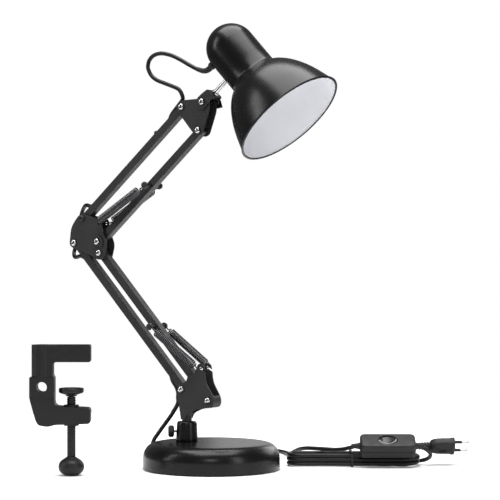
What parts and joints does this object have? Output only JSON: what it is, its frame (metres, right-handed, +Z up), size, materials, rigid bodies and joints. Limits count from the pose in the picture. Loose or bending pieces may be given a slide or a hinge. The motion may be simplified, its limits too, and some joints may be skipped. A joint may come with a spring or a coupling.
{
  "type": "swing arm desk lamp",
  "caption": "Swing arm desk lamp with parallelogram arms, counterbalance springs, bell shade on a tilting stem, weighted round base, mains lead and a table clamp.",
  "frame": {"origin": "centre of the round base's underside, on the table", "axes": "+Z up, +X the way the head reaches in the arm plane, hinge axes along Y"},
  "size_m": [0.5025, 0.4141, 0.5775],
  "materials": {
    "gloss_black": "satin gloss black enamel",
    "satin_black": "satin black paint on pressed steel",
    "bar_black": "satin black paint on square steel tube",
    "matte_black": "matte black moulding",
    "clamp_black": "matte black painted casting",
    "cord_black": "black PVC sheath",
    "chrome": "polished plating",
    "steel": "plain steel",
    "spring_steel": "dark drawn spring wire",
    "iron": "raw casting",
    "brass": "plated screw shell and contact",
    "felt": "soft black base pad",
    "white_plastic": "white thermoset",
    "gloss_plastic": "glossy black rocker"
  },
  "bodies": {
    "base": {"base_cover": "gloss_black", "base_weight": "iron", "base_pad": "felt", "base_bolt": "steel", "base_socket": "gloss_black", "mains_lead": "cord_black", "hank": "cord_black", "hank_tie": "matte_black", "switch_tail": "cord_black", "plug_tail": "cord_black", "plug_end": "cord_black", "switch_base": "matte_black", "switch_lid": "matte_black", "plug_relief": "matte_black", "plug_body": "matte_black", "plug_pin_1": "chrome", "plug_pin_2": "chrome"},
    "thumb": {"thumb_screw": "matte_black"},
    "post_bracket": {"post": "bar_black", "lower_bracket": "satin_black", "pin_lower_rear": "chrome", "pin_lower_front": "chrome"},
    "lower_rear": {"lower_bar_rear": "bar_black", "cord_lower_arm": "cord_black"},
    "lower_front": {"lower_bar_front": "bar_black", "lower_crossbar": "satin_black", "spring_lower_front": "spring_steel", "spring_lower_back": "spring_steel"},
    "elbow": {"elbow_bracket": "satin_black", "elbow_tab": "satin_black", "pin_elbow_rear": "chrome", "pin_elbow_lower": "chrome", "pin_elbow_front": "chrome", "pin_elbow_upper": "chrome", "cord_elbow_lower": "cord_black", "cord_elbow_upper": "cord_black"},
    "upper_rear": {"upper_bar_rear": "bar_black", "cord_upper_arm": "cord_black"},
    "upper_front": {"upper_bar_front": "bar_black", "upper_crossbar": "satin_black", "spring_upper_front": "spring_steel", "spring_upper_back": "spring_steel"},
    "top": {"top_bracket": "satin_black", "pin_top_rear": "chrome", "pin_top_front": "chrome"},
    "head_clamp": {"head_clamp": "satin_black", "tilt_screw": "chrome", "tilt_clip": "chrome", "cord_head_outer": "cord_black"},
    "head": {"shade": "gloss_black", "stem": "chrome", "cord_gland": "matte_black", "lampholder": "white_plastic", "screw_shell": "brass", "centre_contact": "brass", "cord_head_inner": "cord_black"},
    "rocker": {"switch_rocker": "gloss_plastic"},
    "clamp": {"clamp_frame": "clamp_black"},
    "clamp_pad": {"clamp_pad": "clamp_black"},
    "clamp_screw": {"clamp_screw": "clamp_black"}
  },
  "joints": [
    {"name": "thumb_turn", "type": "hinge", "parent": "base", "child": "thumb", "pos_m": [-0.037, 0, 0.0475], "axis": [-0.866, -0.5, 0], "range_deg": [-180, 180]},
    {"name": "swivel", "type": "hinge", "parent": "base", "child": "post_bracket", "pos_m": [-0.037, 0, 0.07], "axis": [0, 0, 1], "range_deg": [-90, 90], "deforming": ["mains_lead"]},
    {"name": "lower_arm", "type": "hinge", "parent": "post_bracket", "child": "lower_rear", "pos_m": [-0.04, 0, 0.103], "axis": [0, 1, 0], "range_deg": [-12, 38], "deforming": ["cord_lower_arm"]},
    {"name": "lower_link", "type": "hinge", "parent": "post_bracket", "child": "lower_front", "pos_m": [0, 0, 0.0895], "axis": [0, 1, 0], "range_deg": [-12, 38], "deforming": ["spring_lower_front", "spring_lower_back"]},
    {"name": "elbow_level", "type": "hinge", "parent": "lower_rear", "child": "elbow", "pos_m": [-0.209, 0, 0.295], "axis": [0, 1, 0], "range_deg": [-38, 12], "deforming": ["cord_elbow_lower"]},
    {"name": "upper_arm", "type": "hinge", "parent": "elbow", "child": "upper_rear", "pos_m": [-0.196, 0, 0.328], "axis": [0, 1, 0], "range_deg": [-14, 38], "deforming": ["cord_elbow_upper"]},
    {"name": "upper_link", "type": "hinge", "parent": "elbow", "child": "upper_front", "pos_m": [-0.171, 0, 0.2965], "axis": [0, 1, 0], "range_deg": [-14, 38], "deforming": ["spring_upper_front", "spring_upper_back"]},
    {"name": "top_level", "type": "hinge", "parent": "upper_rear", "child": "top", "pos_m": [-0.04, 0, 0.472], "axis": [0, 1, 0], "range_deg": [-38, 14], "deforming": ["cord_upper_arm"]},
    {"name": "head_tilt", "type": "hinge", "parent": "top", "child": "head_clamp", "pos_m": [-0.0078, 0, 0.4769], "axis": [0, 1, 0], "range_deg": [-55, 42], "deforming": ["cord_head_outer"]},
    {"name": "head_twist", "type": "hinge", "parent": "head_clamp", "child": "head", "pos_m": [-0.0078, 0, 0.4769], "axis": [0.7405, 0, 0.6721], "range_deg": [-90, 90], "deforming": ["cord_head_inner"]},
    {"name": "switch_rock", "type": "hinge", "parent": "base", "child": "rocker", "pos_m": [0.19195, 0.12953, 0.03132], "axis": [-0.433, 0.75, 0.5], "range_deg": [0, 6.8]},
    {"name": "clamp_lift", "type": "slide", "parent": "base", "child": "clamp", "axis": [0, 0, 1], "range_m": [0, 0.3]},
    {"name": "pad_slide", "type": "slide", "parent": "clamp", "child": "clamp_pad", "axis": [0, 0, 1], "range_m": [0, 0.0255]},
    {"name": "screw_turn", "type": "hinge", "parent": "clamp_pad", "child": "clamp_screw", "pos_m": [-0.11811, -0.14902, 0.06], "axis": [0, 0, 1], "range_deg": [0, 3060]}
  ],
  "couplings": [
    {"joint": "lower_link", "follows": "lower_arm", "ratio": 1},
    {"joint": "elbow_level", "follows": "lower_arm", "ratio": -1},
    {"joint": "upper_link", "follows": "upper_arm", "ratio": 1},
    {"joint": "top_level", "follows": "upper_arm", "ratio": -1},
    {"joint": "pad_slide", "follows": "screw_turn", "m_per_rad": 0.00047746}
  ]
}
